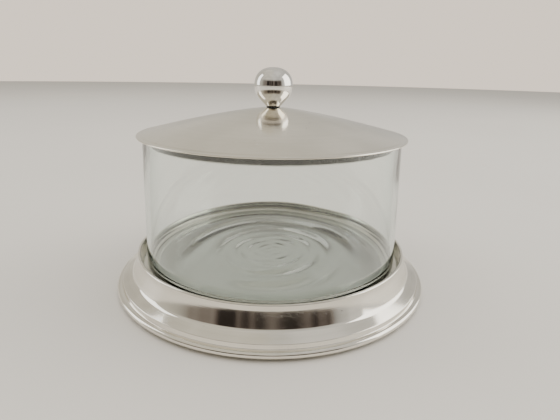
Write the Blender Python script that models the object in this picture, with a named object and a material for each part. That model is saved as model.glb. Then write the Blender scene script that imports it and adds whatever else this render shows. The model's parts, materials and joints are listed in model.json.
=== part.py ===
"""Cheese dome: a clear glass bowl standing in a polished aluminium ring, closed by a spun
aluminium lid with a ball knob. Metres, +Z up, origin at the centre of the plane it stands on.

Nearly every piece is turned, so it is drawn as a closed outline in the (radius, height) plane
and spun round Z. All fits follow from the bowl: the ring's collar, the lid and its band take
their radii from it, and every piece that rests on another keeps CONTACT_GAP to it.
"""

import math

import bmesh
import bpy
from mathutils import Matrix, Vector

# Driving dimensions, in metres ------------------------------------------------------------
CONTACT_GAP = 0.0003  # between pieces that touch

BOWL_RADIUS = 0.118  # outside, at the rim
BOWL_HEIGHT = 0.1218
BOWL_TAPER = 0.0033  # how much wider the bowl is at its base than at its rim
BOWL_WALL = 0.0045
BOWL_FLOOR = 0.0065
BOWL_HEEL = 0.005  # radius of the outer bottom corner
BOWL_CORNER = 0.006  # radius of the inner bottom corner

BUMPER_RADIUS = 0.004
BUMPER_HEIGHT = 0.002
BUMPER_COUNT = 4

COLLAR_HEIGHT = 0.0355  # top of the ring's lip above the table
COLLAR_LEAN = 0.0014  # how far the collar's inner face leans out, ledge to lip
LIP_THICKNESS = 0.0026
SEAT_GAP = 0.0042  # round the bowl, at the ledge
LEDGE_HEIGHT = 0.022
LEDGE_THICKNESS = 0.003
LEDGE_REACH = 0.0125  # from the bowl's side inwards
LEDGE_FILLET = 0.002

FOOT_BEAD = 0.0028  # radius of the ring's rounded outer edge
FOOT_WIDTH = 0.0115  # of the face that carries the bumpers, bead included
STEP_HEIGHT = 0.0041  # from the bead up to the flange
STEP_RUN = 0.0009
FLANGE_RUN = 0.0074
COVE_FILLET = 0.0055
CAST_WALL = 0.003
COVE_TOP_TILT = math.radians(14)  # of the cove's face from upright, under the lip
COVE_FOOT_TILT = math.radians(24)
FLANGE_TILT = math.radians(64)

LID_OVERHANG = 0.0052  # past the bowl's side
LID_RISE = 0.0243
LID_CURVE = 1.31  # 1 is a straight cone and 2 a parabola
LID_SHEET = 0.0014
BAND_CLEARANCE = 0.0017  # from the locating band to the inside of the bowl
BAND_SHEET = 0.0012
BAND_DROP = 0.0082  # below the bowl's rim
BAND_LEG = 0.008  # the part that is fixed under the lid

KNOB_RADIUS = 0.0175
KNOB_CROWN = 0.0160  # height of its upper half
KNOB_FULLNESS = 2.3  # of its upper half: 2 is an ellipse, and more is squarer
KNOB_NECK_RADIUS = 0.0068
KNOB_HOLE_DEPTH = 0.0135
FIBRE_RADIUS = 0.0062
FIBRE_THICKNESS = 0.0009

SCREW_RADIUS = 0.0025
SCREW_ENGAGEMENT = 0.0115  # length inside the knob
SCREW_CLEARANCE = 0.0004  # in every hole that the screw passes
HEAD_RADIUS = 0.0048
HEAD_HEIGHT = 0.0030
SLOT_WIDTH = 0.0013
SLOT_DEPTH = 0.0014
WASHER_RADIUS = 0.009
WASHER_THICKNESS = 0.0012
SPRING_RADIUS = 0.0045
SPRING_THICKNESS = 0.0012
SPRING_RISE = 0.0003
SPRING_SPLIT = math.radians(16)

BIG_STEPS = 64  # facets round the wide pieces
SMALL_STEPS = 32  # and round the knob and its fixings
BUMPER_STEPS = 16

# Sizes that follow ------------------------------------------------------------------------
bowl_base_radius = BOWL_RADIUS + BOWL_TAPER
bowl_bottom = LEDGE_HEIGHT + CONTACT_GAP
bowl_top = bowl_bottom + BOWL_HEIGHT
collar_inner_radius = bowl_base_radius + SEAT_GAP
lip_radius = LIP_THICKNESS / 2
lip_centre_radius = collar_inner_radius + COLLAR_LEAN + lip_radius
foot_face = BUMPER_HEIGHT + CONTACT_GAP
hole_radius = SCREW_RADIUS + SCREW_CLEARANCE

lid_radius = BOWL_RADIUS + LID_OVERHANG
rim_radius = BOWL_WALL / 2
rim_centre_radius = BOWL_RADIUS - rim_radius
rim_centre_z = bowl_top - rim_radius
lid_slope = math.atan(
    LID_RISE * LID_CURVE / lid_radius * (rim_centre_radius / lid_radius) ** (LID_CURVE - 1)
)
lid_over_rim = rim_centre_z + (rim_radius + CONTACT_GAP) / math.cos(lid_slope) + LID_SHEET
lid_edge_top = lid_over_rim - LID_RISE * (1 - (rim_centre_radius / lid_radius) ** LID_CURVE)
seat_radius = max(WASHER_RADIUS, KNOB_NECK_RADIUS, FIBRE_RADIUS) + 0.0005
seat_top = lid_edge_top + LID_RISE * (1 - (seat_radius / lid_radius) ** LID_CURVE)
seat_under = seat_top - LID_SHEET
band_radius = BOWL_RADIUS - BOWL_WALL - BAND_CLEARANCE


# Outline helpers --------------------------------------------------------------------------
def arc(centre, radius, start, end, steps):
    """Points of an arc in the (radius, height) plane, angles in degrees from +radius."""
    turn = (end - start) / steps
    angles = (math.radians(start + turn * i) for i in range(steps + 1))
    return [
        (centre[0] + radius * math.cos(a), centre[1] + radius * math.sin(a)) for a in angles
    ]


def lid_height(radius):
    """Height of the lid's upper face: a shallow dome with a level seat for the knob."""
    reach = max(radius, seat_radius) / lid_radius
    return lid_edge_top + LID_RISE * (1 - reach**LID_CURVE)


# Mesh helpers -----------------------------------------------------------------------------
def material(name, colour, roughness, metallic=0.0, transmission=0.0):
    made = bpy.data.materials.new(name)
    made.use_nodes = True
    shader = made.node_tree.nodes["Principled BSDF"]
    shader.inputs["Base Color"].default_value = (*colour, 1)
    shader.inputs["Roughness"].default_value = roughness
    shader.inputs["Metallic"].default_value = metallic
    shader.inputs["Transmission Weight"].default_value = transmission
    return made


def finished(name, mesh_maker, made_of, parent):
    """An object from a bmesh: one closed skin, facing out and shaded smooth."""
    bmesh.ops.remove_doubles(mesh_maker, verts=mesh_maker.verts, dist=1e-7)
    bmesh.ops.recalc_face_normals(mesh_maker, faces=mesh_maker.faces)
    mesh = bpy.data.meshes.new(name)
    mesh_maker.to_mesh(mesh)
    mesh_maker.free()
    mesh.shade_smooth()
    mesh.set_sharp_from_angle(angle=math.radians(35))
    mesh.materials.append(made_of)
    obj = bpy.data.objects.new(name, mesh)
    bpy.context.scene.collection.objects.link(obj)
    obj.parent = parent
    return obj


def turned(name, outline, steps, made_of, parent):
    """A solid of revolution. An outline that starts and ends on the axis stays open there."""
    maker = bmesh.new()
    points = [maker.verts.new((radius, 0, height)) for radius, height in outline]
    pairs = list(zip(points, points[1:]))
    if outline[0][0] > 0:
        pairs.append((points[-1], points[0]))
    edges = [maker.edges.new(pair) for pair in pairs]
    bmesh.ops.spin(
        maker,
        geom=points + edges,
        axis=(0, 0, 1),
        cent=(0, 0, 0),
        angle=math.tau,
        steps=steps,
        use_merge=True,
    )
    return finished(name, maker, made_of, parent)


def empty(name, parent=None):
    made = bpy.data.objects.new(name, None)
    bpy.context.scene.collection.objects.link(made)
    made.parent = parent
    return made


# The pieces -------------------------------------------------------------------------------
def base_ring(made_of, parent):
    """The cast ring, from its lip outwards: cove, flange, step, bead, hollow, ledge, collar."""
    step_top = foot_face + 2 * FOOT_BEAD + STEP_HEIGHT
    flange_rise = FLANGE_RUN / math.tan(FLANGE_TILT)
    fillet_run = COVE_FILLET * (math.cos(COVE_FOOT_TILT) - math.cos(FLANGE_TILT))
    fillet_rise = COVE_FILLET * (math.sin(FLANGE_TILT) - math.sin(COVE_FOOT_TILT))
    cove_foot_z = step_top + flange_rise + fillet_rise
    cove_top_z = COLLAR_HEIGHT - LIP_THICKNESS
    cove_arc = (cove_top_z - cove_foot_z) / (math.sin(COVE_FOOT_TILT) - math.sin(COVE_TOP_TILT))
    cove_top_r = lip_centre_radius + lip_radius * 0.7
    cove_foot_r = cove_top_r + cove_arc * (math.cos(COVE_TOP_TILT) - math.cos(COVE_FOOT_TILT))
    cove_centre = (
        cove_top_r + cove_arc * math.cos(COVE_TOP_TILT),
        cove_top_z + cove_arc * math.sin(COVE_TOP_TILT),
    )
    fillet_centre = (
        cove_foot_r + COVE_FILLET * math.cos(COVE_FOOT_TILT),
        cove_foot_z + COVE_FILLET * math.sin(COVE_FOOT_TILT),
    )
    flange_foot_r = cove_foot_r + fillet_run + FLANGE_RUN
    bead_centre = (flange_foot_r + STEP_RUN + FOOT_BEAD * 0.7, foot_face + FOOT_BEAD)
    foot_radius = bead_centre[0] + FOOT_BEAD
    foot_inner = foot_radius - FOOT_WIDTH
    ledge_under = LEDGE_HEIGHT - LEDGE_THICKNESS
    ledge_nose = bowl_base_radius - LEDGE_REACH + LEDGE_THICKNESS / 2
    lip_centre = (lip_centre_radius, COLLAR_HEIGHT - lip_radius)
    tilt = math.degrees
    outline = arc(lip_centre, lip_radius, 180, -45, 9)
    outline += arc(
        cove_centre, cove_arc, 180 + tilt(COVE_TOP_TILT), 180 + tilt(COVE_FOOT_TILT), 6
    )
    outline += arc(
        fillet_centre, COVE_FILLET, 180 + tilt(COVE_FOOT_TILT), 180 + tilt(FLANGE_TILT), 4
    )[1:]
    outline += [(flange_foot_r, step_top), (flange_foot_r + STEP_RUN, step_top - STEP_HEIGHT)]
    outline += arc(bead_centre, FOOT_BEAD, 90, -90, 8)
    outline += [
        (foot_inner, foot_face),
        (foot_inner, foot_face + 2 * FOOT_BEAD),
        (foot_inner + CAST_WALL / 2, step_top - CAST_WALL / 2),
        (cove_foot_r + fillet_run, step_top + flange_rise - CAST_WALL),
        (cove_foot_r - CAST_WALL, min(ledge_under, cove_foot_z) - CAST_WALL / 4),
        (collar_inner_radius - CAST_WALL / 2, ledge_under),
    ]
    outline += arc(
        (ledge_nose, LEDGE_HEIGHT - LEDGE_THICKNESS / 2), LEDGE_THICKNESS / 2, 270, 90, 5
    )
    outline += arc(
        (collar_inner_radius - LEDGE_FILLET, LEDGE_HEIGHT + LEDGE_FILLET),
        LEDGE_FILLET,
        -90,
        0,
        4,
    )
    ring = turned("base_ring", outline, BIG_STEPS, made_of, parent)
    return ring, foot_radius - FOOT_WIDTH / 2


def foot_bumpers(made_of, parent, circle_radius):
    """Soft dots stuck under the foot, on one circle."""
    outline = [
        (0, BUMPER_HEIGHT),
        (BUMPER_RADIUS, BUMPER_HEIGHT),
        (BUMPER_RADIUS, BUMPER_HEIGHT * 0.55),
        (BUMPER_RADIUS * 0.86, BUMPER_HEIGHT * 0.12),
        (BUMPER_RADIUS * 0.7, 0),
        (0, 0),
    ]
    for number in range(BUMPER_COUNT):
        dot = turned(f"foot_bumper_{number + 1}", outline, BUMPER_STEPS, made_of, parent)
        angle = math.tau * (number + 0.5) / BUMPER_COUNT
        dot.location = (circle_radius * math.cos(angle), circle_radius * math.sin(angle), 0)


def glass_bowl(made_of, parent):
    """A moulded bowl: flat floor, rounded heel, slightly tapering wall and a rounded rim."""
    inner_base = bowl_base_radius - BOWL_WALL
    floor_top = bowl_bottom + BOWL_FLOOR
    outline = [(0, bowl_bottom)]
    outline += arc(
        (bowl_base_radius - BOWL_HEEL, bowl_bottom + BOWL_HEEL), BOWL_HEEL, -90, 0, 5
    )
    outline += arc((rim_centre_radius, rim_centre_z), rim_radius, 0, 180, 8)
    outline += arc((inner_base - BOWL_CORNER, floor_top + BOWL_CORNER), BOWL_CORNER, 0, -90, 5)
    outline += [(0, floor_top)]
    return turned("glass_bowl", outline, BIG_STEPS, made_of, parent)


def lid_shell(made_of, parent):
    """Spun sheet: a shallow dome with a rounded edge and a hole for the knob's screw."""
    rounds = 9
    inner, outer = seat_radius, lid_radius - LID_SHEET / 2
    stations = [hole_radius] + [inner + (outer - inner) * i / rounds for i in range(rounds + 1)]
    top = [(radius, lid_height(radius)) for radius in stations]
    edge = (outer, lid_height(outer) - LID_SHEET / 2)
    outline = top[:-1] + arc(edge, LID_SHEET / 2, 90, -90, 4)
    outline += [(radius, height - LID_SHEET) for radius, height in reversed(top[:-1])]
    return turned("lid_shell", outline, BIG_STEPS, made_of, parent)


def lid_band(made_of, parent):
    """The angle-section ring under the lid, whose upright leg centres the lid in the bowl."""
    low = bowl_top - BAND_DROP

    def under(radius):
        return lid_height(radius) - LID_SHEET - CONTACT_GAP

    leg_end = band_radius - BAND_LEG
    inside = band_radius - BAND_SHEET
    nose = BAND_SHEET / 2
    outline = [
        (leg_end, under(leg_end) - BAND_SHEET),
        (leg_end, under(leg_end)),
        (band_radius, under(band_radius)),
    ]
    outline += arc((band_radius - nose, low + nose), nose, 0, -180, 4)
    outline += [(inside, under(inside) - BAND_SHEET)]
    return turned("lid_band", outline, BIG_STEPS, made_of, parent)


def knob_ball(made_of, parent):
    """A ball with a slightly flattened crown, drawn out at 45 degrees to a flat neck.

    A blind hole in the neck takes the screw.
    """
    base = seat_top + FIBRE_THICKNESS + 2 * CONTACT_GAP
    centre = (0, base + KNOB_RADIUS * math.sqrt(2) - KNOB_NECK_RADIUS)
    outline = [(0, centre[1] + KNOB_CROWN)]
    power = 2 / KNOB_FULLNESS
    crown_steps = 10
    for step in range(1, crown_steps):
        angle = math.pi / 2 * (1 - step / crown_steps)
        outline.append(
            (
                KNOB_RADIUS * math.cos(angle) ** power,
                centre[1] + KNOB_CROWN * math.sin(angle) ** power,
            )
        )
    outline += arc(centre, KNOB_RADIUS, 0, -45, 5)
    outline += [
        (KNOB_NECK_RADIUS, base),
        (hole_radius, base),
        (hole_radius, base + KNOB_HOLE_DEPTH),
        (0, base + KNOB_HOLE_DEPTH + hole_radius / 2),
    ]
    return turned("knob_ball", outline, SMALL_STEPS, made_of, parent)


def washer(name, outer, low, thickness, made_of, parent):
    """A plain ring round the screw."""
    outline = [
        (hole_radius, low),
        (outer, low),
        (outer, low + thickness),
        (hole_radius, low + thickness),
    ]
    return turned(name, outline, SMALL_STEPS, made_of, parent)


def spring_washer(low, made_of, parent):
    """A split ring whose ends stand apart, swept as a square section on a slow helix."""
    maker = bmesh.new()
    top = low + SPRING_THICKNESS
    corners = ((hole_radius, low), (SPRING_RADIUS, low), (SPRING_RADIUS, top), (hole_radius, top))
    section = maker.faces.new([maker.verts.new((radius, 0, height)) for radius, height in corners])
    bmesh.ops.spin(
        maker,
        geom=[section, *section.edges, *section.verts],
        axis=(0, 0, 1),
        cent=(0, 0, 0),
        dvec=Vector((0, 0, SPRING_RISE / SMALL_STEPS)),
        angle=math.tau - SPRING_SPLIT,
        steps=SMALL_STEPS,
    )
    return finished("spring_washer", maker, made_of, parent)


def knob_screw(head_top, made_of, parent):
    """A slotted pan-head screw, head down, that reaches up into the knob."""
    tip = seat_top + FIBRE_THICKNESS + 2 * CONTACT_GAP + SCREW_ENGAGEMENT
    bottom = head_top - HEAD_HEIGHT
    edge = HEAD_HEIGHT * 0.45
    outline = [(0, tip), (SCREW_RADIUS * 0.8, tip), (SCREW_RADIUS, tip - SCREW_RADIUS * 0.4)]
    outline += [(SCREW_RADIUS, head_top), (HEAD_RADIUS, head_top)]
    outline += arc((HEAD_RADIUS - edge, bottom + edge), edge, 0, -90, 4)
    outline += [(0, bottom)]
    screw = turned("knob_screw", outline, SMALL_STEPS, made_of, parent)

    maker = bmesh.new()
    bmesh.ops.create_cube(maker, size=1)
    size = Matrix.Diagonal((2.4 * HEAD_RADIUS, SLOT_WIDTH, 2 * SLOT_DEPTH, 1))
    bmesh.ops.transform(maker, matrix=size, verts=maker.verts)
    cutter = finished("slot_cutter", maker, made_of, parent)
    cutter.location = (0, 0, bottom)
    cutter.hide_render = True
    cutter.display_type = "WIRE"
    cut = screw.modifiers.new("slot", "BOOLEAN")
    cut.operation = "DIFFERENCE"
    cut.object = cutter
    return screw


def main():
    for old in list(bpy.data.objects):
        bpy.data.objects.remove(old)

    polished = material("polished_aluminium", (0.80, 0.78, 0.75), 0.10, metallic=1)
    satin = material("satin_aluminium", (0.76, 0.74, 0.70), 0.22, metallic=1)
    bright = material("bright_ball_metal", (0.84, 0.83, 0.81), 0.04, metallic=1)
    plated = material("plated_steel", (0.62, 0.62, 0.60), 0.30, metallic=1)
    glass = material("clear_glass", (0.90, 0.96, 0.93), 0.01, transmission=1)
    fibre = material("black_fibre", (0.02, 0.02, 0.02), 0.7)
    rubber = material("clear_rubber", (0.75, 0.76, 0.74), 0.5)

    base = empty("base")
    bowl = empty("bowl", base)
    lid = empty("lid", bowl)

    _, bumper_circle = base_ring(polished, base)
    foot_bumpers(rubber, base, bumper_circle)
    glass_bowl(glass, bowl)
    lid_shell(satin, lid)
    lid_band(satin, lid)

    knob_ball(bright, lid)
    washer("knob_fibre_washer", FIBRE_RADIUS, seat_top + CONTACT_GAP, FIBRE_THICKNESS, fibre, lid)
    washer_low = seat_under - CONTACT_GAP - WASHER_THICKNESS
    washer("flat_washer", WASHER_RADIUS, washer_low, WASHER_THICKNESS, plated, lid)
    spring_low = washer_low - CONTACT_GAP - SPRING_THICKNESS - SPRING_RISE
    spring_washer(spring_low, plated, lid)
    knob_screw(spring_low - CONTACT_GAP, plated, lid)


main()
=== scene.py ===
# %% [markdown]
# # A cheese dome, piece by piece
# The real object is a clear glass bowl that stands in a polished metal ring, under a shallow
# metal lid with a ball knob. Nearly all of it was made on a lathe or in a round mould, so
# nearly every piece here is one outline carried round an axis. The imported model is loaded
# first. It fixes every position, and each piece made below takes its place from it.

# %% Load the frame
import json
import math

import bpy
import numpy as np
from mathutils import Matrix, Vector

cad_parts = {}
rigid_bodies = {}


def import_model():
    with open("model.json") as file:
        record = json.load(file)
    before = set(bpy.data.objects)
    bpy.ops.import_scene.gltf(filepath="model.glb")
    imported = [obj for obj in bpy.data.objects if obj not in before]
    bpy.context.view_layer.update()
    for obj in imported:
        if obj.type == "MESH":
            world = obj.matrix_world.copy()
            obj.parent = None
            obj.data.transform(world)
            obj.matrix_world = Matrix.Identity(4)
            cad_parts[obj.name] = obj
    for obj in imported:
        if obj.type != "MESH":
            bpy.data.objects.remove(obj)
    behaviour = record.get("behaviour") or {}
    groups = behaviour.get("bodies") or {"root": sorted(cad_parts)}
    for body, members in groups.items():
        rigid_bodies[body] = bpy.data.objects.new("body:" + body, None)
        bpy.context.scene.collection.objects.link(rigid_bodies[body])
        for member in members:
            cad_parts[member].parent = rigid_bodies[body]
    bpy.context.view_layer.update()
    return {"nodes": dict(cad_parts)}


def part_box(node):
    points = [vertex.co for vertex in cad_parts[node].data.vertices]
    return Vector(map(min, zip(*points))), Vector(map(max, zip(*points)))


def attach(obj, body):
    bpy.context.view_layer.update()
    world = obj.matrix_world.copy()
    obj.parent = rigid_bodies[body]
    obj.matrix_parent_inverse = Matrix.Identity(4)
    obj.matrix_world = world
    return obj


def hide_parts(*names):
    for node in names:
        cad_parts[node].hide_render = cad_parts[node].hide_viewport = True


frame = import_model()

MM = 0.001


def box_mm(node):
    """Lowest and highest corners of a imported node, in millimetres."""
    low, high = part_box(node)
    return np.array(low) / MM, np.array(high) / MM


# %% [markdown]
# ## The camera
# It stands a little above the lid and looks down at the object, as someone does who sits at
# the table. The lens is wide and close, so the lid looks nearly as broad as the ring although
# it is much smaller. The camera is rolled by one degree.

# %% Camera
CAMERA_DISTANCE = 0.4166
CAMERA_HEIGHT = 0.2014
CAMERA_PITCH = math.radians(17.77)
CAMERA_YAW = math.radians(1.13)
CAMERA_ROLL = math.radians(1.16)
CAMERA_LENS = 28.3


def make_camera():
    """A camera whose axes are worked out from its pitch, yaw and roll."""
    forward = Vector((
        math.sin(CAMERA_YAW) * math.cos(CAMERA_PITCH),
        math.cos(CAMERA_YAW) * math.cos(CAMERA_PITCH),
        -math.sin(CAMERA_PITCH),
    ))
    level = Vector((math.cos(CAMERA_YAW), -math.sin(CAMERA_YAW), 0))
    above = level.cross(forward)
    right = math.cos(CAMERA_ROLL) * level + math.sin(CAMERA_ROLL) * above
    up = math.cos(CAMERA_ROLL) * above - math.sin(CAMERA_ROLL) * level
    turn = Matrix((right, up, -forward)).transposed().to_4x4()
    camera = bpy.data.objects.new("camera", bpy.data.cameras.new("camera"))
    camera.data.lens = CAMERA_LENS
    camera.data.clip_start = 0.01
    camera.matrix_world = Matrix.Translation((0, -CAMERA_DISTANCE, CAMERA_HEIGHT)) @ turn
    bpy.context.scene.collection.objects.link(camera)
    bpy.context.scene.camera = camera
    return camera


print("camera at", tuple(round(v, 3) for v in make_camera().location))

# %% [markdown]
# ## Outlines
# A lathe tool never leaves a knife edge, and a mould can't hold one, so each outline is given
# as corners with a rounding of their own. A rounding is an arc that touches both sides of its
# corner. It could be a Bevel modifier on the finished mesh, but then every edge would get the
# same width.

# %% Helpers for outlines
def rounded(corners, steps=6, closed=True):
    """A path of straight runs joined by arcs, from rows of (radius, height, rounding).

    For a corner whose two sides turn through an angle t, the arc of radius q starts at a
    distance q * tan(t / 2) before the corner, and its points are blended from the two touching
    points by sin((1 - s) * t) and sin(s * t) about the arc's centre, as s goes from 0 to 1.
    """
    corners = np.asarray(corners, float)
    point, size = corners[:, :2], corners[:, 2]
    before = np.roll(point, 1, 0) - point
    after = np.roll(point, -1, 0) - point
    if not closed:
        before[0], after[-1] = -after[0], -before[-1]
    before /= np.linalg.norm(before, axis=1, keepdims=True)
    after /= np.linalg.norm(after, axis=1, keepdims=True)
    turn = np.arccos(np.clip(-(before * after).sum(1), -1, 1))
    reach = (size * np.tan(turn / 2))[:, None]
    half = before + after
    length = np.linalg.norm(half, axis=1, keepdims=True)
    half = np.divide(half, length, out=np.zeros_like(half), where=length > 1e-9)
    centre = point + half * (size / np.maximum(np.cos(turn / 2), 1e-9))[:, None]
    s = np.linspace(0, 1, steps + 1)[None, :, None]
    angle = np.maximum(turn, 1e-9)[:, None, None]
    start = (point + before * reach - centre)[:, None, :]
    end = (point + after * reach - centre)[:, None, :]
    arc = (np.sin((1 - s) * angle) * start + np.sin(s * angle) * end) / np.sin(angle)
    path = (centre[:, None, :] + arc).reshape(-1, 2)
    step = np.linalg.norm(np.diff(path, axis=0), axis=1)
    keep = np.r_[True, step > 1e-3]
    path = path[keep]
    if closed and np.linalg.norm(path[0] - path[-1]) < 1e-3:
        path = path[:-1]
    return path


def arc(centre, radius, start, end, steps):
    """Points at centre + radius * (cos a, sin a), for angles a from start to end in degrees."""
    a = np.radians(np.linspace(start, end, steps + 1))
    return np.stack([centre[0] + radius * np.cos(a), centre[1] + radius * np.sin(a)], 1)


def with_rounding(points, rounding=0.0):
    """Rows of (radius, height, rounding), all with the same rounding."""
    return np.column_stack([points, np.full(len(points), rounding)])


square = rounded([[0, 0, 1], [9, 0, 1], [9, 9, 1], [0, 9, 1]])
print("a square with rounded corners has", len(square), "points")

# %% [markdown]
# ## From outline to surface
# A turned piece is a surface of two parameters: how far along the outline, and which way round
# the axis. Both are worked out as whole arrays. An outline that closes on itself makes a ring.
# One that starts and ends on the axis makes a closed body, and each of its ends is then a
# single point with a fan of triangles.

# %% Helpers for surfaces
SHARP_ANGLE = math.radians(40)


def tile(rows, columns, close_rows):
    """Four corner numbers for each cell of a grid that wraps round its columns."""
    last = rows if close_rows else rows - 1
    i, j = np.meshgrid(np.arange(last), np.arange(columns), indexing="ij")
    i_next, j_next = (i + 1) % rows, (j + 1) % columns
    corners = [i * columns + j, i * columns + j_next]
    corners += [i_next * columns + j_next, i_next * columns + j]
    return np.stack(corners, -1).reshape(-1, 4)


def volume_of(vertices, faces):
    """Six times a solid's volume: the sum of a . (b x c) over its faces' triangles."""
    total = 0.0
    for kind in faces:
        a, b, c = (vertices[kind[:, k]] for k in (0, 1, 2))
        total += np.einsum("ij,ij->", a, np.cross(b, c))
        if kind.shape[1] == 4:
            d = vertices[kind[:, 3]]
            total += np.einsum("ij,ij->", a, np.cross(c, d))
    return total


def make_piece(name, vertices, faces, body, node):
    """A closed mesh from millimetre points, faced outwards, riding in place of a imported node.

    Edges that turn by more than SHARP_ANGLE stay crisp and the rest is shaded smooth.
    """
    if volume_of(vertices, faces) < 0:
        faces = [kind[:, ::-1] for kind in faces]
    mesh = bpy.data.meshes.new(name)
    corners = [face for kind in faces for face in kind.tolist()]
    mesh.from_pydata(np.round(vertices * MM, 9).tolist(), [], corners)
    mesh.shade_smooth()
    mesh.set_sharp_from_angle(angle=SHARP_ANGLE)
    piece = bpy.data.objects.new(name, mesh)
    bpy.context.scene.collection.objects.link(piece)
    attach(piece, body)
    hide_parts(node)
    triangles = sum(len(kind) * (kind.shape[1] - 2) for kind in faces)
    print(f"{name}: {len(vertices)} points, {triangles} triangles, on {body}")
    return piece


def turn_points(outline, segments, shift=None):
    """(r cos a, r sin a, z) for each outline point (r, z) and each angle a round the axis.

    shift(r, z, a) gives how far the points move outwards and upwards, as two arrays.
    """
    a = np.linspace(0, 2 * np.pi, segments, endpoint=False)[None, :]
    r = np.repeat(outline[:, :1], segments, 1)
    z = np.repeat(outline[:, 1:], segments, 1)
    if shift is not None:
        out, up = shift(r, z, a)
        r, z = r + out, z + up
    return np.stack([r * np.cos(a), r * np.sin(a), z], -1)


def turned_ring(name, outline, segments, body, node):
    """A turned piece with a hole through it: the outline closes on itself."""
    vertices = turn_points(outline, segments).reshape(-1, 3)
    return make_piece(name, vertices, [tile(len(outline), segments, True)], body, node)


def turned_body(name, outline, segments, body, node, centre=(0, 0), shift=None):
    """A turned piece with no hole: the outline's two ends are points on the axis."""
    points = turn_points(outline, segments, shift)
    first, last = points[0].mean(0), points[-1].mean(0)
    wall = points[1:-1]
    rows = len(wall)
    vertices = np.vstack([wall.reshape(-1, 3), first, last]) + [centre[0], centre[1], 0]
    j = np.arange(segments)
    j_next = (j + 1) % segments
    cap = np.stack([np.full(segments, rows * segments), j_next, j], 1)
    base = (rows - 1) * segments
    floor = np.stack([np.full(segments, rows * segments + 1), base + j, base + j_next], 1)
    faces = [tile(rows, segments, False), cap, floor]
    return make_piece(name, vertices, faces, body, node)


print("a grid of 3 rows and 8 columns has", len(tile(3, 8, True)), "cells when both ways close")

# %% [markdown]
# ## The ring
# It is cast, turned and polished. From the top: a thin rounded lip, a tall hollowed face, a
# narrow flange, a short step down into a groove, and a rounded outer edge. Inside, a flat
# ledge carries the bowl, and below that the ring is hollow. The hollowed face is an arc of
# large radius that runs into the flange through a tighter one.

# %% Ring
ring_low, ring_high = box_mm("base_ring")
bowl_low, bowl_high = box_mm("glass_bowl")
bowl_base_radius = bowl_high[0]
# Pieces that rest on each other are packed with this much air between them.
GAP = 0.3
LIP_CLEARANCE, LIP_WIDTH = 5.6, 2.6
LIP_ROUNDING, BEAD_ROUNDING = 1.25, 2.75
BEAD, BEAD_REACH, STEP_HEIGHT, STEP_RUN = 2.8, 1.7, 4.1, 0.9
# Tilts of the hollowed face and of the flange, in degrees from upright.
COVE_TOP_TILT, COVE_FOOT_TILT, FLANGE_TILT = 14, 24, 64
# The centre of the fillet between them lies this far inside the flange's edge and above it.
FILLET_RADIUS, FILLET_INSIDE, FILLET_ABOVE = 5.5, 4.987, 8.552
FLANGE_RUN, FOOT_WIDTH = 7.4, 11.5
LEDGE_REACH, LEDGE_THICKNESS, LEDGE_FILLET, SEAT_CLEARANCE = 12.5, 3.0, 2.0, 4.2
ledge_z = bowl_low[2] - GAP
foot_radius, foot_z, lip_z = ring_high[0], ring_low[2], ring_high[2]
lip_inner = bowl_base_radius + LIP_CLEARANCE


def ring_outline():
    """The ring's closed outline, outwards from its lip and back along its underside.

    The cove is an arc whose tilt t grows from top to foot: it runs by cos(top) - cos(t) and
    drops by sin(t) - sin(top), stretched to meet the fillet that joins it to the flange.
    """
    step_z = foot_z + 2 * BEAD + STEP_HEIGHT
    edge_r = foot_radius - BEAD_REACH * BEAD - STEP_RUN
    centre = (edge_r - FILLET_INSIDE, step_z + FILLET_ABOVE)
    fillet = arc(centre, FILLET_RADIUS, 180 + COVE_FOOT_TILT, 180 + FLANGE_TILT, 8)
    cove_top = np.array([lip_inner + 0.85 * LIP_WIDTH, lip_z - LIP_WIDTH])
    tilt = np.radians(np.linspace(COVE_TOP_TILT, COVE_FOOT_TILT, 13))[:, None]
    run, drop = np.cos(tilt[0]) - np.cos(tilt), np.sin(tilt) - np.sin(tilt[0])
    cove = cove_top + np.hstack([run / run[-1], drop / drop[-1]]) * (fillet[0] - cove_top)
    lip = [[lip_inner, lip_z, LIP_ROUNDING], [lip_inner + LIP_WIDTH, lip_z, LIP_ROUNDING]]
    groove = [
        [edge_r, step_z, 0.8],
        [edge_r + STEP_RUN, foot_z + 2 * BEAD, 0.7],
        [foot_radius, foot_z + 2 * BEAD, BEAD_ROUNDING],
        [foot_radius, foot_z, BEAD_ROUNDING],
    ]
    hollow = [
        [foot_radius - FOOT_WIDTH, foot_z, 0.6],
        [foot_radius - FOOT_WIDTH, foot_z + 5.6, 1.5],
        [foot_radius - 10.0, foot_z + 8.2, 1.0],
        [edge_r - FLANGE_RUN, step_z + 0.6, 2.0],
        [edge_r - 13.0, ledge_z - 4.4, 2.0],
        [bowl_base_radius + 2.7, ledge_z - LEDGE_THICKNESS, 1.0],
    ]
    ledge = [
        [bowl_base_radius - LEDGE_REACH, ledge_z - LEDGE_THICKNESS, 1.4],
        [bowl_base_radius - LEDGE_REACH, ledge_z, 1.4],
        [bowl_base_radius + SEAT_CLEARANCE, ledge_z, LEDGE_FILLET],
    ]
    rows = [lip, with_rounding(cove[1:]), with_rounding(fillet[1:]), groove, hollow, ledge]
    return rounded(np.vstack(rows), steps=7)


ring = turned_ring("ring", ring_outline(), 384, "base", "base_ring")

# %% [markdown]
# ## The bumpers
# Four milky soft dots keep the ring off the table. Each is a small dome with a flat top that
# sticks to the ring's foot, and they are the same outline put in four places.

# %% Bumpers
for number in range(1, 5):
    node = f"foot_bumper_{number}"
    low, high = box_mm(node)
    middle, radius = (low + high) / 2, (high[0] - low[0]) / 2
    dot = [[0, high[2], 0], [radius, high[2], 0.2], [radius, 0.9, 0.5], [radius * 0.72, 0, 0.9]]
    dot = rounded(dot + [[0, 0, 0]], steps=6, closed=False)
    turned_body(f"bumper_{number}", dot, 40, "base", node, middle[:2])

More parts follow.
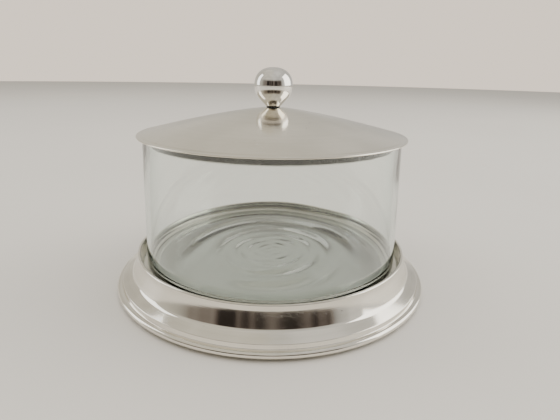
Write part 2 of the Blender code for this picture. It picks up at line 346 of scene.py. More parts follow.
# %% [markdown]
# ## The glass bowl
# The bowl is moulded and its sides lean in a little towards the rim. Hot glass that is pressed
# and then stands on its base keeps the flow in it: the floor has slow rings round a point
# that isn't quite the middle, and the inner wall is not quite true. That is what makes it look
# like glass and not like plastic. Both are in the mesh, because a bump in the material would
# not bend what is seen through the floor.

# %% Glass bowl
WALL, FLOOR, LEAN = 4.5, 6.5, 3.3
OUTER_HEEL, INNER_HEEL, RIM_ROUNDING = 5.0, 6.0, 2.2
# The flow rings end this far inside the bowl's side, and the wall's waves start this far above
# the floor and stop this far under the rim.
FLOOR_EDGE, WALL_START, WALL_STOP = 12.0, 7.0, 3.0
FLOW_CENTRE, TOP_STEEPNESS, UNDER_STEEPNESS = (3.0, -4.0), 0.19, 0.08
# The floor's underside is lifted a little, so the bowl stands on a ring.
PUSH_UP = 0.75
rim_radius = bowl_base_radius - LEAN
floor_z = bowl_low[2] + FLOOR


def ripples(x, y, slope):
    """Frozen flow: cos(2 pi turns(d)) about an off-centre point at a warped distance d.

    turns = 7 * (1 - exp(-d / 50)), so the rings lie 7 mm apart in the middle and widen outwards.
    The height is slope * spacing / (2 pi), which keeps their steepness even, and a product of
    two slow waves in the angle breaks them into arcs. They are faint in the middle.
    """
    across, along = x - FLOW_CENTRE[0], y - FLOW_CENTRE[1]
    a = np.arctan2(along, across)
    d = np.hypot(across, along)
    d = d * (1 + 0.10 * np.sin(a + 0.5) + 0.04 * np.sin(2 * a + 2.0)) + 0.5 * np.sin(3 * a + d / 14)
    turns = 7 * (1 - np.exp(-d / 50))
    spacing = 50 / 7 * np.exp(np.minimum(d, 80) / 50)
    broken = 0.6 + 0.4 * np.sin(a + 1.1 + d / 23) * np.sin(2 * a - 0.7 - d / 31)
    growing = 0.30 + 0.95 * np.clip(d / 42, 0, 1)
    return slope * spacing / (2 * np.pi) * np.cos(2 * np.pi * turns) * broken * growing


def bowl_shift(r, z, a):
    """How far the moulded surface strays: rings on the floor's two faces, waves on the wall."""
    x, y = r * np.cos(a), r * np.sin(a)
    inside_floor = (np.abs(z - floor_z) < 0.01) & (r < bowl_base_radius - FLOOR_EDGE)
    under_floor = (np.abs(z - bowl_low[2]) < 0.01) & (r < bowl_base_radius - FLOOR_EDGE - 2)
    fade = np.clip((bowl_base_radius - FLOOR_EDGE - r) / 10, 0, 1)
    up = np.where(inside_floor, ripples(x, y, TOP_STEEPNESS) * fade, 0)
    lift = np.clip((bowl_base_radius - FLOOR_EDGE - 3 - r) / 12, 0, 1)
    lift = lift * lift * (3 - 2 * lift)
    under_rings = ripples(x + 7, y - 5, UNDER_STEEPNESS)
    up = np.where(under_floor, lift * (PUSH_UP + under_rings), up)
    above, below = z - floor_z - WALL_START, bowl_high[2] - WALL_STOP - z
    inner_wall = r < np.interp(z, [floor_z, bowl_high[2]], [bowl_base_radius, rim_radius]) - 3
    inner_wall &= (above > 0) & (below > 0)
    calm = np.clip(above / 12, 0, 1) * np.clip(below / 12, 0, 1)
    wave = 0.10 * np.sin(3 * a + z / 21) + 0.05 * np.sin(7 * a - z / 9 + 1.0)
    return np.where(inner_wall, wave * calm, 0), up


def bowl_outline():
    """From the axis under the floor, out and up the wall, over the rim and back to the axis."""
    fine = np.arange(2.0, bowl_base_radius - FLOOR_EDGE, 1.15)
    under = with_rounding(np.column_stack([fine, np.full(len(fine), bowl_low[2])]))
    upper = with_rounding(np.column_stack([fine[::-1], np.full(len(fine), floor_z)]))
    heights = np.linspace(floor_z + WALL_START + 0.5, bowl_high[2] - WALL_STOP - 0.5, 34)
    slope = (rim_radius - bowl_base_radius) / (bowl_high[2] - bowl_low[2])
    inner_r = bowl_base_radius - WALL + slope * (heights - bowl_low[2])
    inner = with_rounding(np.column_stack([inner_r, heights]))[::-1]
    foot = [[bowl_base_radius, bowl_low[2], OUTER_HEEL]]
    rim = [[rim_radius, bowl_high[2]], [rim_radius - WALL, bowl_high[2]]]
    rim = with_rounding(np.array(rim), RIM_ROUNDING)
    heel = [[bowl_base_radius - WALL, floor_z, INNER_HEEL]]
    parts = [[[0, bowl_low[2], 0]], under, foot, rim, inner, heel, upper, [[0, floor_z, 0]]]
    return rounded(np.vstack(parts), steps=9, closed=False)


bowl = turned_body(
    "bowl", bowl_outline(), 320, "bowl", "glass_bowl", shift=bowl_shift
)

# %% [markdown]
# ## The lid
# It is spun from sheet over a former: a shallow dome that falls a little faster towards its
# edge, with a flat seat in the middle for the knob. The height at a radius r is
# rise * (1 - (r / R) ^ LID_CURVE). A fine roller line just inside the edge leaves the rim
# looking like a bead, and very slight waves show where the former pressed. Both are in the
# mesh, because a polished sheet gives away its true slope in what it reflects.

# %% Lid
lid_low, lid_high = box_mm("lid_shell")
SHEET, SEAT_RADIUS, HOLE_RADIUS, LID_CURVE = 1.4, 9.5, 2.9, 1.31
ROLLER_DEPTH, ROLLER_INSET, FORMER_WAVE = 0.28, 2.9, 0.025
lid_radius = lid_high[0]
seat_z = lid_high[2]
edge_mid_r = lid_radius - SHEET / 2
edge_share = (edge_mid_r / lid_radius) ** LID_CURVE
seat_share = (SEAT_RADIUS / lid_radius) ** LID_CURVE
# The rise that puts the rounded edge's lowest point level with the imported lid's.
lid_rise = (seat_z - lid_low[2] - SHEET) / (edge_share - seat_share)


def lid_height(r):
    """The upper face: level to the seat's radius, then rise * (1 - (r / R) ^ LID_CURVE)."""
    share = (np.maximum(r, SEAT_RADIUS) / lid_radius) ** LID_CURVE
    return seat_z - lid_rise * (share - seat_share)


def lid_outline():
    """Out along the upper face, round the edge and back along the lower face."""
    r = np.r_[HOLE_RADIUS, np.linspace(SEAT_RADIUS, edge_mid_r, 112)]
    roller_line = ROLLER_DEPTH * np.exp(-(((r - lid_radius + ROLLER_INSET) / 0.55) ** 2))
    waves = FORMER_WAVE * np.sin(r / 5.3) * np.clip((r - SEAT_RADIUS - 2) / 10, 0, 1)
    top = np.column_stack([r, lid_height(r) - roller_line - waves * (r < edge_mid_r - 4)])
    edge = arc((edge_mid_r, lid_height(edge_mid_r) - SHEET / 2), SHEET / 2, 80, -80, 10)
    under_r = np.linspace(SEAT_RADIUS, edge_mid_r, 60)[::-1]
    under = np.column_stack([under_r, lid_height(under_r) - SHEET])
    hole = [[HOLE_RADIUS, lid_height(HOLE_RADIUS) - SHEET]]
    return np.vstack([top[:-1], edge, under[1:], hole])


lid = turned_ring("lid", lid_outline(), 360, "lid", "lid_shell")

# %% [markdown]
# ## The locating band
# A ring of angle section is fixed under the lid. Its upright leg drops just inside the rim of the
# bowl and keeps the lid in the middle. The leg is dull, and its near-black colour is painted shade,
# standing for the dark that the leg reflects under the lid. A thin pale line along its lower edge
# is a painted highlight.

# %% Locating band
band_low, band_high = box_mm("lid_band")
BAND_SHEET, BAND_LEG = 1.2, 8.0


def band_outline():
    """An angle section: one leg lies under the lid's slope and the other hangs down."""
    r_out, r_in = band_high[0], band_high[0] - BAND_LEG
    under_out, under_in = lid_height(r_out) - SHEET - GAP, lid_height(r_in) - SHEET - GAP
    corners = [
        [r_in, under_in, 0.3],
        [r_out, under_out, 1.0],
        [r_out, band_low[2], 0.55],
        [r_out - BAND_SHEET, band_low[2], 0.55],
        [r_out - BAND_SHEET, under_out + 0.35 - BAND_SHEET, 0.8],
        [r_in, under_in - BAND_SHEET, 0.3],
    ]
    return rounded(corners, steps=5)


band = turned_ring("locating_band", band_outline(), 320, "lid", "lid_band")

# %% [markdown]
# ## The knob
# A polished ball, slightly flat on its crown, and drawn out to a narrow neck along a cone that
# leaves the ball at 45 degrees. The crown follows |r / R| ^ n + |z / H| ^ n = 1 with n = 2.3,
# which is a little squarer than an ellipse. A dark fibre washer keeps the neck from marking
# the lid.

# %% Knob and fibre washer
knob_low, knob_high = box_mm("knob_ball")
knob_radius, knob_base, knob_top = knob_high[0], knob_low[2], knob_high[2]
NECK_RADIUS, KNOB_POWER, KNOB_HOLE_DEPTH = 6.8, 2.3, 13.5


def knob_outline():
    """From the crown down the ball and the cone to the neck, then up the screw's hole."""
    # The cone leaves the ball at 45 degrees and reaches the lid at the neck's radius.
    middle = knob_base + knob_radius * math.sqrt(2) - NECK_RADIUS
    a = np.linspace(np.pi / 2, 0, 34)
    share = 2 / KNOB_POWER
    crown_r = knob_radius * np.maximum(np.cos(a), 0) ** share
    crown_z = middle + (knob_top - middle) * np.maximum(np.sin(a), 0) ** share
    ball = arc((0, middle), knob_radius, -3, -45, 16)
    neck = [
        [NECK_RADIUS, knob_base, 0.5],
        [HOLE_RADIUS, knob_base, 0.3],
        [HOLE_RADIUS, knob_base + KNOB_HOLE_DEPTH, 0.2],
        [0, knob_base + KNOB_HOLE_DEPTH + 1.4, 0],
    ]
    crown = np.column_stack([crown_r, crown_z])
    crown[0, 0] = 0
    corners = np.vstack([with_rounding(crown), with_rounding(ball), neck])
    return rounded(corners, steps=5, closed=False)


def washer_outline(node, rounding):
    """A plain washer's section, with its corners eased."""
    low, high = box_mm(node)
    return rounded([
        [HOLE_RADIUS, low[2], rounding],
        [high[0], low[2], rounding],
        [high[0], high[2], rounding],
        [HOLE_RADIUS, high[2], rounding],
    ], steps=4)


knob = turned_body("knob", knob_outline(), 192, "lid", "knob_ball")
fibre_outline = washer_outline("knob_fibre_washer", 0.2)
fibre = turned_ring("fibre_washer", fibre_outline, 96, "lid", "knob_fibre_washer")

# %% [markdown]
# ## What holds the knob
# Under the lid, a slotted screw passes through a flat washer and a split spring washer into
# the knob. The spring washer is a square wire on a slow helix whose two ends stand apart. It
# is an outline carried along a path, with a flat end on each side of the split. The screw's
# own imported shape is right, so it stays and only gets its metal.

# %% Washers
flat_outline = washer_outline("flat_washer", 0.25)
flat = turned_ring("flat_washer_turned", flat_outline, 128, "lid", "flat_washer")
SPLIT_TURN, SPLIT_RISE = math.radians(344), 0.3


def spring_washer():
    """Points (r cos a, r sin a, z + rise * a / whole) for a square section (r, z)."""
    low, high = box_mm("spring_washer")
    section = rounded([
        [HOLE_RADIUS, low[2], 0.15],
        [high[0], low[2], 0.15],
        [high[0], high[2] - SPLIT_RISE, 0.15],
        [HOLE_RADIUS, high[2] - SPLIT_RISE, 0.15],
    ], steps=3)
    steps, count = 120, len(section)
    share = np.linspace(0, 1, steps)[:, None]
    a = share * SPLIT_TURN
    r, z = section[None, :, 0], section[None, :, 1] + SPLIT_RISE * share
    points = np.stack([r * np.cos(a), r * np.sin(a), np.broadcast_to(z, (steps, count))], -1)
    vertices = np.vstack([points.reshape(-1, 3), points[0].mean(0), points[-1].mean(0)])
    j = np.arange(count)
    j_next = (j + 1) % count
    first = np.stack([np.full(count, steps * count), j_next, j], 1)
    base = (steps - 1) * count
    last = np.stack([np.full(count, steps * count + 1), base + j, base + j_next], 1)
    faces = [tile(steps, count, False), first, last]
    return make_piece("split_washer", vertices, faces, "lid", "spring_washer")


split = spring_washer()

# %% [markdown]
# ## Small shader parts
# A pattern is a sum in a node tree. These helpers make one node each, so that a material below
# reads as a few lines of arithmetic.

# %% Helpers for materials
def new_group(name, inputs, outputs):
    """A shader node group with named value inputs and outputs."""
    tree = bpy.data.node_groups.new(name, "ShaderNodeTree")
    for label, default in inputs:
        socket = tree.interface.new_socket(label, in_out="INPUT", socket_type="NodeSocketFloat")
        socket.default_value = default
    for label in outputs:
        tree.interface.new_socket(label, in_out="OUTPUT", socket_type="NodeSocketFloat")
    return tree, tree.nodes.new("NodeGroupInput"), tree.nodes.new("NodeGroupOutput")


def feed(tree, socket, value):
    """Link a socket to another socket, or set its plain value."""
    if isinstance(value, bpy.types.NodeSocket):
        tree.links.new(value, socket)
    else:
        socket.default_value = value


def calc(tree, operation, *values, clamp=False):
    """A Math node's result."""
    node = tree.nodes.new("ShaderNodeMath")
    node.operation = operation
    node.use_clamp = clamp
    for socket, value in zip(node.inputs, values):
        feed(tree, socket, value)
    return node.outputs[0]


def remap(tree, value, low, high, to_low=0.0, to_high=1.0):
    """A smooth step from to_low to to_high as value goes from low to high."""
    node = tree.nodes.new("ShaderNodeMapRange")
    node.interpolation_type = "SMOOTHSTEP"
    for label, number in zip(("Value", "From Min", "From Max", "To Min", "To Max"),
                             (value, low, high, to_low, to_high)):
        feed(tree, node.inputs[label], number)
    return node.outputs["Result"]


def noise(tree, scale, detail=3.0, vector=None, dimensions="3D", w=None, distortion=0.0):
    """A Noise texture's value."""
    node = tree.nodes.new("ShaderNodeTexNoise")
    node.noise_dimensions = dimensions
    feed(tree, node.inputs["Scale"], scale)
    node.inputs["Detail"].default_value = detail
    node.inputs["Distortion"].default_value = distortion
    if vector is not None:
        tree.links.new(vector, node.inputs["Vector"])
    if w is not None:
        tree.links.new(w, node.inputs["W"])
    return node.outputs["Fac"]


def object_axes(tree):
    """Object coordinates, and their three parts, in metres."""
    place = tree.nodes.new("ShaderNodeTexCoord").outputs["Object"]
    split_axes = tree.nodes.new("ShaderNodeSeparateXYZ")
    tree.links.new(place, split_axes.inputs[0])
    return place, split_axes.outputs[0], split_axes.outputs[1], split_axes.outputs[2]


def length_of(tree, x, y):
    """sqrt(x^2 + y^2)."""
    squares = calc(tree, "ADD", calc(tree, "POWER", x, 2.0), calc(tree, "POWER", y, 2.0))
    return calc(tree, "SQRT", squares)


def place_group(tree, group, **values):
    """One use of a node group, with its own values."""
    node = tree.nodes.new("ShaderNodeGroup")
    node.node_tree = group
    for label, value in values.items():
        node.inputs[label].default_value = value
    return node.outputs


def new_material(name):
    """An empty material with its Principled shader and output."""
    made = bpy.data.materials.new(name)
    made.use_nodes = True
    tree = made.node_tree
    return made, tree, tree.nodes["Principled BSDF"], tree.nodes["Material Output"]


def blend_colour(tree, share, first, second):
    """A colour between two others, by a mask."""
    node = tree.nodes.new("ShaderNodeMix")
    node.data_type = "RGBA"
    for socket, value in ((node.inputs["A"], first), (node.inputs["B"], second)):
        feed(tree, socket, value if isinstance(value, bpy.types.NodeSocket) else (*value, 1))
    feed(tree, node.inputs["Factor"], share)
    return node.outputs["Result"]


def bump(tree, height, strength, distance):
    """A Bump node's normal."""
    node = tree.nodes.new("ShaderNodeBump")
    node.inputs["Strength"].default_value = strength
    node.inputs["Distance"].default_value = distance
    tree.links.new(height, node.inputs["Height"])
    return node.outputs["Normal"]


shader_helpers = (calc, remap, noise, length_of, blend_colour, bump)
print("shader helpers:", [helper.__name__ for helper in shader_helpers])

# %% [markdown]
# ## Effects that several metals share
# Four effects show on these metals and each is one node group. Turning leaves fine rings,
# handling leaves a haze and hair scratches, and casting leaves a few dark pits. Each group
# reads the object's own coordinates and puts out only a mask or a height. Every material then
# chooses how strong it is. They could be image textures, but those would blur up close.

# %% Four shared effects
def make_turning_marks():
    """Rings round Z: noise of one variable, the radius less the height, so walls have them too."""
    inputs = [("Spacing", 0.001), ("Sweep", 0.3)]
    tree, start, end = new_group("turning_marks", inputs, ["Rings", "Bands"])
    place, x, y, z = object_axes(tree)
    along = calc(tree, "SUBTRACT", length_of(tree, x, y), z)
    wander = calc(tree, "MULTIPLY", noise(tree, 40.0, 1.0, place), start.outputs["Spacing"])
    along = calc(tree, "ADD", along, calc(tree, "MULTIPLY", wander, start.outputs["Sweep"]))
    turns = calc(tree, "DIVIDE", along, start.outputs["Spacing"])
    fine = noise(tree, 1.0, 2.0, dimensions="1D", w=turns)
    broad = noise(tree, 0.11, 3.0, dimensions="1D", w=turns)
    tree.links.new(fine, end.inputs["Rings"])
    tree.links.new(broad, end.inputs["Bands"])
    return tree


def make_hair_scratches():
    """Thin curved lines: where a stretched, bent noise passes through its middle value."""
    tree, start, end = new_group("hair_scratches", [("Size", 30.0), ("Amount", 0.5)], ["Scratches"])
    place = object_axes(tree)[0]
    lines = None
    for number, (turn, stretch) in enumerate(((0.5, 9.0), (2.1, 14.0), (1.3, 11.0))):
        mapping = tree.nodes.new("ShaderNodeMapping")
        mapping.inputs["Rotation"].default_value = (0.3 * number, 0.2, turn)
        mapping.inputs["Location"].default_value = (0.37 * number, 0.11, 0.05)
        mapping.inputs["Scale"].default_value = (1.0, stretch, 1.0)
        tree.links.new(place, mapping.inputs["Vector"])
        field = noise(tree, start.outputs["Size"], 1.5, mapping.outputs[0], distortion=0.4)
        near = calc(tree, "ABSOLUTE", calc(tree, "SUBTRACT", field, 0.5))
        line = remap(tree, near, 0.0, 0.006, 1.0, 0.0)
        lines = line if lines is None else calc(tree, "MAXIMUM", lines, line)
    patches = remap(tree, noise(tree, 26.0, 2.0, place), 0.48, 0.62)
    shown = calc(tree, "MULTIPLY", lines, patches)
    mask = calc(tree, "MULTIPLY", shown, start.outputs["Amount"], clamp=True)
    tree.links.new(mask, end.inputs["Scratches"])
    return tree


def make_casting_pits():
    """Small dark holes: the middles of a few Voronoi cells, picked by a slow noise."""
    tree, start, end = new_group("casting_pits", [("Cells", 300.0), ("Share", 0.3)], ["Pits"])
    place = object_axes(tree)[0]
    cells = tree.nodes.new("ShaderNodeTexVoronoi")
    tree.links.new(place, cells.inputs["Vector"])
    tree.links.new(start.outputs["Cells"], cells.inputs["Scale"])
    chance = tree.nodes.new("ShaderNodeSeparateColor")
    tree.links.new(cells.outputs["Color"], chance.inputs[0])
    chosen = calc(tree, "LESS_THAN", chance.outputs[0], start.outputs["Share"])
    size = calc(tree, "MULTIPLY_ADD", chance.outputs[1], 0.16, 0.08)
    spot = remap(tree, calc(tree, "DIVIDE", cells.outputs["Distance"], size), 0.6, 1.0, 1.0, 0.0)
    where = remap(tree, noise(tree, 22.0, 2.0, place), 0.50, 0.60)
    mask = calc(tree, "MULTIPLY", calc(tree, "MULTIPLY", spot, chosen), where, clamp=True)
    tree.links.new(mask, end.inputs["Pits"])
    return tree


def make_handling_haze():
    """A cloudy film: two sizes of noise multiplied, so that it lies in patches."""
    tree, start, end = new_group("handling_haze", [("Size", 14.0), ("Contrast", 1.0)], ["Haze"])
    place = object_axes(tree)[0]
    broad = remap(tree, noise(tree, start.outputs["Size"], 4.0, place, distortion=0.6), 0.35, 0.7)
    small = noise(tree, calc(tree, "MULTIPLY", start.outputs["Size"], 9.0), 3.0, place)
    film = calc(tree, "MULTIPLY", broad, calc(tree, "MULTIPLY_ADD", small, 0.8, 0.5))
    film = calc(tree, "MULTIPLY", film, start.outputs["Contrast"], clamp=True)
    tree.links.new(film, end.inputs["Haze"])
    return tree


TURNING = make_turning_marks()
SCRATCHES = make_hair_scratches()
PITS = make_casting_pits()
HAZE = make_handling_haze()
print("node groups:", [g.name for g in (TURNING, SCRATCHES, PITS, HAZE)])

# %% [markdown]
# ## The metals
# Polished aluminium is never a perfect mirror. Its roughness goes up in the haze and along the
# scratches, and its colour dulls a little in the bands that the polishing wheel left. All the
# metals here are made by one function with their own numbers, because they differ in how much
# of each effect they show and not in kind.

# %% Metals
# The second colour is a painted highlight, laid along the locating band's lower edge.
PIT_COLOUR, EDGE_HIGHLIGHT_COLOUR = (0.07, 0.065, 0.06), (0.86, 0.84, 0.80)


def metal(
    name, colour, dull, rough, spacing, ring_depth, scratch, pits, cells=240.0, haze_size=14.0,
    extra_rough=None, painted_highlight=None,
):
    """A worked metal. rough is its roughness when clean and when hazed.

    The last two arguments are masks made by a function: where the metal was left rough, and where a
    pale highlight is painted into the colour.
    """
    made, tree, shader, _ = new_material(name)
    shader.inputs["Metallic"].default_value = 1.0
    turning = place_group(tree, TURNING, Spacing=spacing, Sweep=0.4)
    scratches = place_group(tree, SCRATCHES, Size=34.0, Amount=scratch)["Scratches"]
    pitted = place_group(tree, PITS, Cells=cells, Share=pits)["Pits"]
    haze = place_group(tree, HAZE, Size=haze_size, Contrast=1.0)["Haze"]
    clouded = calc(tree, "MULTIPLY", haze, 0.45)
    tone = calc(tree, "MULTIPLY_ADD", turning["Bands"], 0.5, clouded, clamp=True)
    base = blend_colour(tree, tone, colour, dull)
    base = blend_colour(tree, pitted, base, PIT_COLOUR)
    # A pale painted highlight is blended into the colour where its mask is given.
    if painted_highlight is not None:
        base = blend_colour(tree, painted_highlight(tree), base, EDGE_HIGHLIGHT_COLOUR)
    tree.links.new(base, shader.inputs["Base Color"])
    level = calc(tree, "MULTIPLY_ADD", haze, rough[1] - rough[0], rough[0])
    level = calc(tree, "MULTIPLY_ADD", turning["Rings"], 0.05, level)
    level = calc(tree, "MULTIPLY_ADD", scratches, 0.22, level)
    level = calc(tree, "MULTIPLY_ADD", pitted, 0.4, level, clamp=True)
    if extra_rough is not None:
        level = calc(tree, "MAXIMUM", level, extra_rough(tree))
    tree.links.new(level, shader.inputs["Roughness"])
    relief = calc(tree, "MULTIPLY", scratches, -0.35)
    relief = calc(tree, "MULTIPLY_ADD", turning["Rings"], ring_depth, relief)
    relief = calc(tree, "MULTIPLY_ADD", pitted, -2.0, relief)
    tree.links.new(bump(tree, relief, 0.35, 0.00006), shader.inputs["Normal"])
    return made


def unpolished_seat(tree):
    """Roughness of the ledge that the bowl hides: the polishing wheel doesn't reach in there."""
    place, x, y, z = object_axes(tree)
    collar, level = float(lip_inner - 0.7) * MM, float(ledge_z + 3.5) * MM
    inside = remap(tree, length_of(tree, x, y), collar, collar - 0.0012)
    low = remap(tree, z, level + 0.003, level)
    grain = calc(tree, "MULTIPLY_ADD", noise(tree, 900.0, 2.0, place), 0.10, 0.36)
    return calc(tree, "MULTIPLY", calc(tree, "MULTIPLY", inside, low), grain)


def painted_edge_highlight(tree):
    """Painted highlight: 1 along the lower edge of the locating band, fading out over 0.8 mm."""
    place, _, _, z = object_axes(tree)
    uneven = calc(tree, "MULTIPLY_ADD", noise(tree, 60.0, 3.0, place), 0.0006, z)
    edge = float(band_low[2] * MM)
    return remap(tree, uneven, edge + 0.0015, edge + 0.0007)


ring_metal = metal(
    "polished_ring_metal", (0.90, 0.865, 0.79), (0.74, 0.705, 0.62), (0.05, 0.13),
    spacing=0.0009, ring_depth=0.35, scratch=0.4, pits=0.16, extra_rough=unpolished_seat,
)
lid_metal = metal(
    "satin_lid_metal", (0.92, 0.872, 0.765), (0.80, 0.752, 0.65), (0.07, 0.15),
    spacing=0.0006, ring_depth=0.4, scratch=0.6, pits=0.08, cells=300.0, haze_size=11.0,
)
# The band's near-black colours are painted shade, for the dark it reflects under the lid, and its
# lower edge gets a painted highlight.
band_metal = metal(
    "band_metal_painted_dark", (0.10, 0.10, 0.095), (0.06, 0.06, 0.057), (0.22, 0.36),
    spacing=0.0005, ring_depth=0.5, scratch=0.4, pits=0.10, cells=500.0, haze_size=24.0,
    painted_highlight=painted_edge_highlight,
)
knob_metal = metal(
    "mirror_knob_metal", (0.90, 0.88, 0.84), (0.80, 0.78, 0.73), (0.02, 0.06),
    spacing=0.0007, ring_depth=0.15, scratch=0.35, pits=0.10, cells=500.0, haze_size=60.0,
)
steel = metal(
    "plated_fixing_metal", (0.66, 0.66, 0.65), (0.50, 0.49, 0.46), (0.24, 0.42),
    spacing=0.0004, ring_depth=0.6, scratch=0.5, pits=0.15, cells=900.0, haze_size=120.0,
)
metals = (ring_metal, lid_metal, band_metal, knob_metal, steel)
print("metals:", [each.name for each in metals])

# %% [markdown]
# ## Glass, rubber and fibre
# The glass is clear with a faint green cast from its iron, and it has wiping marks that only
# show in its gloss. Light that falls straight through it is let past with a small loss, so
# that the ring's ledge and the table under it are lit as they are behind real glass. The
# bumpers are milky, and the fibre washer is black with short grey hairs.

# %% Glass, rubber and fibre
def make_glass():
    """Clear glass, greener where it is seen edge on. Shadow rays take it for a thin film."""
    made, tree, shader, output = new_material("clear_moulded_glass")
    edge_on = tree.nodes.new("ShaderNodeLayerWeight")
    edge_on.inputs["Blend"].default_value = 0.30
    grazing = remap(tree, edge_on.outputs["Facing"], 0.25, 0.95)
    tint = blend_colour(tree, grazing, (0.955, 0.980, 0.965), (0.50, 0.63, 0.575))
    tree.links.new(tint, shader.inputs["Base Color"])
    shader.inputs["Transmission Weight"].default_value = 1.0
    shader.inputs["IOR"].default_value = 1.5
    haze = place_group(tree, HAZE, Size=20.0, Contrast=0.8)["Haze"]
    wiped = place_group(tree, SCRATCHES, Size=16.0, Amount=0.4)["Scratches"]
    level = calc(tree, "MULTIPLY_ADD", wiped, 0.03, calc(tree, "MULTIPLY", haze, 0.012))
    tree.links.new(level, shader.inputs["Roughness"])
    past = tree.nodes.new("ShaderNodeBsdfTransparent")
    past.inputs["Color"].default_value = (0.90, 0.93, 0.91, 1)
    rays = tree.nodes.new("ShaderNodeLightPath")
    mix = tree.nodes.new("ShaderNodeMixShader")
    tree.links.new(rays.outputs["Is Shadow Ray"], mix.inputs[0])
    tree.links.new(shader.outputs[0], mix.inputs[1])
    tree.links.new(past.outputs[0], mix.inputs[2])
    tree.links.new(mix.outputs[0], output.inputs["Surface"])
    return made


def make_rubber():
    """Milky soft plastic with a fine grain."""
    made, tree, shader, _ = new_material("milky_bumper_rubber")
    place = object_axes(tree)[0]
    dust = place_group(tree, HAZE, Size=160.0, Contrast=1.0)["Haze"]
    colour = blend_colour(tree, dust, (0.74, 0.75, 0.73), (0.52, 0.51, 0.48))
    tree.links.new(colour, shader.inputs["Base Color"])
    tree.links.new(calc(tree, "MULTIPLY_ADD", dust, 0.25, 0.38), shader.inputs["Roughness"])
    grain = bump(tree, noise(tree, 2500.0, 3.0, place), 0.25, 0.00005)
    tree.links.new(grain, shader.inputs["Normal"])
    return made


def make_fibre():
    """Black pressed fibre with short grey hairs."""
    made, tree, shader, _ = new_material("black_pressed_fibre")
    place = object_axes(tree)[0]
    hairs = place_group(tree, SCRATCHES, Size=260.0, Amount=0.8)["Scratches"]
    colour = blend_colour(tree, hairs, (0.018, 0.017, 0.016), (0.10, 0.095, 0.09))
    tree.links.new(colour, shader.inputs["Base Color"])
    tree.links.new(calc(tree, "MULTIPLY_ADD", hairs, 0.2, 0.62), shader.inputs["Roughness"])
    grain = bump(tree, noise(tree, 1800.0, 4.0, place), 0.5, 0.00008)
    tree.links.new(grain, shader.inputs["Normal"])
    return made


glass, rubber, black_fibre = make_glass(), make_rubber(), make_fibre()
print("clear and soft:", [each.name for each in (glass, rubber, black_fibre)])

# %% [markdown]
# ## Dressing the pieces
# Each piece gets one material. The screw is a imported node, so its material slots are filled in
# place.

# %% Dress the pieces
def dress(piece, material):
    """Put a material in every slot of a piece."""
    if not piece.data.materials:
        piece.data.materials.append(material)
    for number in range(len(piece.data.materials)):
        piece.data.materials[number] = material
    print(piece.name, "is", material.name)


for piece, material in (
    (ring, ring_metal), (bowl, glass), (lid, lid_metal), (band, band_metal), (knob, knob_metal),
    (fibre, black_fibre), (flat, steel), (split, steel), (frame["nodes"]["knob_screw"], steel),
):
    dress(piece, material)
for number in range(1, 5):
    dress(bpy.data.objects[f"bumper_{number}"], rubber)

# %% [markdown]
# ## The floor
# A plain pale floor stands for the table. It reaches far enough that its edge looks like a
# horizon from every side.

# %% Floor
def make_floor():
    """A flat disc, as rings of points (r cos a, r sin a, 0) with radii that grow outwards."""
    radii = np.array([400.0, 1200.0, 6000.0])
    points = turn_points(np.column_stack([radii, np.zeros(3)]), 96)
    rows, segments = points.shape[:2]
    vertices = np.vstack([points.reshape(-1, 3), [0, 0, 0]])
    j = np.arange(segments)
    fan = np.stack([np.full(segments, rows * segments), j, (j + 1) % segments], 1)
    cells = tile(rows, segments, False)[:, ::-1]
    mesh = bpy.data.meshes.new("floor")
    mesh.from_pydata((vertices * MM).tolist(), [], cells.tolist() + fan.tolist())
    floor = bpy.data.objects.new("floor", mesh)
    bpy.context.scene.collection.objects.link(floor)
    made, tree, shader, _ = new_material("pale_floor")
    patches = noise(tree, 3.0, 3.0, object_axes(tree)[0])
    colour = blend_colour(tree, patches, (0.67, 0.645, 0.605), (0.71, 0.685, 0.645))
    tree.links.new(colour, shader.inputs["Base Color"])
    shader.inputs["Roughness"].default_value = 0.55
    mesh.materials.append(made)
    print("floor:", len(mesh.polygons), "faces,", 2 * radii[-1] * MM, "m across")


make_floor()

# %% [markdown]
# ## The lights
# A large light above lights the floor and casts the soft shadow under the ring, without showing
# in the metal. Two tall ones at the sides do show: they draw pale upright streaks on the ring
# and the knob. The right one is wider, which keeps the two sides from looking alike.

# %% Lights
def softbox(name, place, aim, size, power, tint, mirrored=True):
    """A rectangular area light that faces a point. Metal shows it only if it is mirrored."""
    light = bpy.data.lights.new(name, "AREA")
    light.shape = "RECTANGLE"
    light.size, light.size_y = size
    light.energy = power
    light.color = tint
    lamp = bpy.data.objects.new(name, light)
    lamp.location = place
    lamp.rotation_euler = (Vector(aim) - Vector(place)).to_track_quat("-Z", "Y").to_euler()
    lamp.visible_glossy = mirrored
    bpy.context.scene.collection.objects.link(lamp)
    print(name, "at", place, "gives", power, "watts")


softbox(
    "light_above", (0.0, 0.4, 2.5), (0, 0.4, 0), (5.0, 5.0), 96, (1.0, 0.96, 0.90), mirrored=False
)
softbox("light_right", (2.60, 0.30, 1.45), (0, 0, 1.25), (2.60, 2.60), 60, (1.0, 0.98, 0.94))
softbox("light_left", (-2.60, 0.60, 1.45), (0, 0, 1.25), (1.10, 2.60), 20, (0.96, 0.98, 1.0))

# %% [markdown]
# ## What the metal reflects
# Metal and glass show nothing but what stands round them. A room of real furniture would be a
# lot of meshes for a few soft shapes, so the room is painted on the sky as a function of
# direction: pale behind the object and above it, and dark with pale strips in front, which is
# what the middle of the ring and of the knob show.

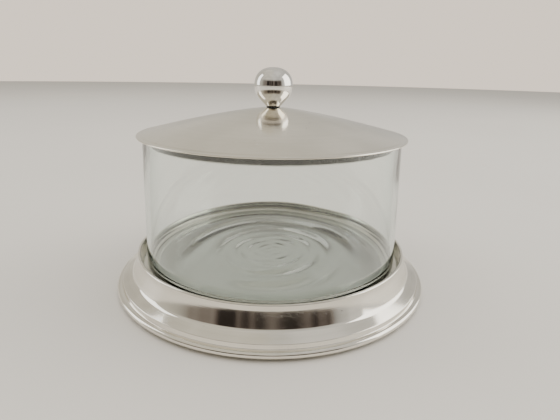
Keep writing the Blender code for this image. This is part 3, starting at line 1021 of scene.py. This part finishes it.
# %% Surroundings
def make_surroundings():
    """A room as a function of direction (x, y, z), and a plain pale wall for the camera.

    The far side is pale with soft clouds and the ceiling is bright. Near the horizon on the
    near side it is dark, and there s, the sine of the direction round Z, x / sqrt(x^2 + y^2),
    goes through noise of one variable at two sizes, which leaves pale upright strips.
    """
    world = bpy.data.worlds.new("surroundings")
    bpy.context.scene.world = world
    world.use_nodes = True
    tree = world.node_tree
    tree.nodes.clear()
    look = tree.nodes.new("ShaderNodeTexCoord").outputs["Generated"]
    parts = tree.nodes.new("ShaderNodeSeparateXYZ")
    tree.links.new(look, parts.inputs[0])
    x, y, z = parts.outputs
    s = calc(tree, "DIVIDE", x, calc(tree, "MAXIMUM", length_of(tree, x, y), 0.001))
    broad = noise(tree, 2.6, 1.0, dimensions="1D", w=calc(tree, "ADD", s, 3.7))
    fine = noise(tree, 7.0, 0.0, dimensions="1D", w=calc(tree, "ADD", s, 1.3))
    strips = calc(tree, "MULTIPLY", remap(tree, broad, 0.45, 0.68), 0.30)
    strips = calc(tree, "MULTIPLY_ADD", remap(tree, fine, 0.52, 0.80), 0.16, strips)
    aside = remap(tree, calc(tree, "ABSOLUTE", calc(tree, "ADD", s, 0.06)), 0.72, 0.97)
    strips = calc(tree, "MULTIPLY", strips, calc(tree, "MULTIPLY_ADD", aside, 0.5, 0.6))
    near = calc(tree, "ADD", calc(tree, "MULTIPLY_ADD", aside, 0.60, 0.03), strips)
    clouds = remap(tree, noise(tree, 2.6, 2.0, look), 0.40, 0.62, 0.64, 0.76)
    far = calc(tree, "ADD", clouds, remap(tree, z, 0.60, 1.0, 0.0, 0.12))
    low = calc(tree, "MULTIPLY", remap(tree, y, 0.25, -0.15), remap(tree, z, 0.55, 0.30))
    total = tree.nodes.new("ShaderNodeMix")
    for label, value in (("Factor", low), ("A", far), ("B", near)):
        feed(tree, total.inputs[label], value)
    strength = total.outputs["Result"]
    pale = blend_colour(tree, remap(tree, s, -0.9, 0.7), (1.0, 0.94, 0.81), (1.0, 0.965, 0.90))
    tint = blend_colour(tree, remap(tree, strength, 0.05, 0.45), (1.0, 0.80, 0.68), pale)
    room = tree.nodes.new("ShaderNodeBackground")
    tree.links.new(tint, room.inputs["Color"])
    tree.links.new(strength, room.inputs["Strength"])
    plain = tree.nodes.new("ShaderNodeBackground")
    plain.inputs["Color"].default_value = (1.26, 1.09, 0.91, 1)
    rays = tree.nodes.new("ShaderNodeLightPath")
    mix = tree.nodes.new("ShaderNodeMixShader")
    tree.links.new(rays.outputs["Is Camera Ray"], mix.inputs[0])
    tree.links.new(room.outputs[0], mix.inputs[1])
    tree.links.new(plain.outputs[0], mix.inputs[2])
    output = tree.nodes.new("ShaderNodeOutputWorld")
    tree.links.new(mix.outputs[0], output.inputs["Surface"])
    print("surroundings:", len(tree.nodes), "nodes")


make_surroundings()
